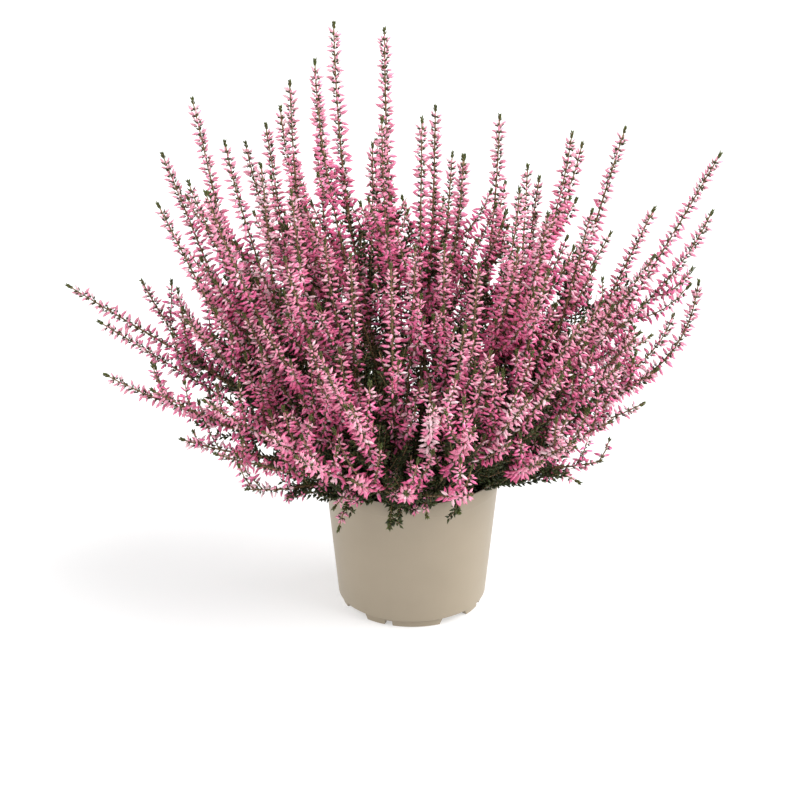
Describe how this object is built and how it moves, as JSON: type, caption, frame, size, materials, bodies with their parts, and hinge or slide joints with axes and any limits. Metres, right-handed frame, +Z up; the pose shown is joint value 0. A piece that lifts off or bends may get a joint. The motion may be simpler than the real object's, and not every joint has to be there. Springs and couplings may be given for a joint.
{
  "type": "potted heather",
  "caption": "Potted heather: a plastic pot of compost holding a round bush of upright and spreading spikes set with small closed buds.",
  "frame": {"origin": "in the plane of the pot's feet, in the middle of the bush's width and depth", "axes": "+Z up along the pot's axis, -Y towards the front, +X to the right seen from the front"},
  "size_m": [0.3919, 0.3162, 0.3704],
  "materials": {
    "pot_plastic": "moulded taupe polypropylene with a soft sheen",
    "compost": "dark fibrous peat compost",
    "flowering_spray": "matt waxy pink buds, pale at the base, on a brown-green stem",
    "green_shoot": "matt grey-green scale leaves"
  },
  "bodies": {
    "root": {"pot": "pot_plastic", "soil": "compost", "spray_01": "flowering_spray", "spray_02": "flowering_spray", "spray_03": "flowering_spray", "spray_04": "flowering_spray", "spray_05": "flowering_spray", "spray_06": "flowering_spray", "spray_07": "flowering_spray", "spray_08": "flowering_spray", "spray_09": "flowering_spray", "spray_10": "flowering_spray", "spray_11": "flowering_spray", "spray_12": "flowering_spray", "spray_13": "flowering_spray", "spray_14": "flowering_spray", "spray_15": "flowering_spray", "spray_16": "flowering_spray", "spray_17": "flowering_spray", "spray_18": "flowering_spray", "spray_19": "flowering_spray", "spray_20": "flowering_spray", "spray_21": "flowering_spray", "spray_22": "flowering_spray", "spray_23": "flowering_spray", "spray_24": "flowering_spray", "spray_25": "flowering_spray", "spray_26": "flowering_spray", "spray_27": "flowering_spray", "spray_28": "flowering_spray", "spray_29": "flowering_spray", "spray_30": "flowering_spray", "spray_31": "flowering_spray", "spray_32": "flowering_spray", "spray_33": "flowering_spray", "spray_34": "flowering_spray", "spray_35": "flowering_spray", "spray_36": "flowering_spray", "spray_37": "flowering_spray", "spray_38": "flowering_spray", "spray_39": "flowering_spray", "spray_40": "flowering_spray", "spray_41": "flowering_spray", "spray_42": "flowering_spray", "spray_43": "flowering_spray", "spray_44": "flowering_spray", "spray_45": "flowering_spray", "spray_46": "flowering_spray", "spray_47": "flowering_spray", "spray_48": "flowering_spray", "leafy_shoot_1": "green_shoot", "leafy_shoot_2": "green_shoot", "leafy_shoot_3": "green_shoot", "leafy_shoot_4": "green_shoot", "leafy_shoot_5": "green_shoot", "leafy_shoot_6": "green_shoot", "leafy_shoot_7": "green_shoot", "leafy_shoot_8": "green_shoot", "leafy_shoot_9": "green_shoot", "leafy_shoot_10": "green_shoot"}
  },
  "joints": []
}
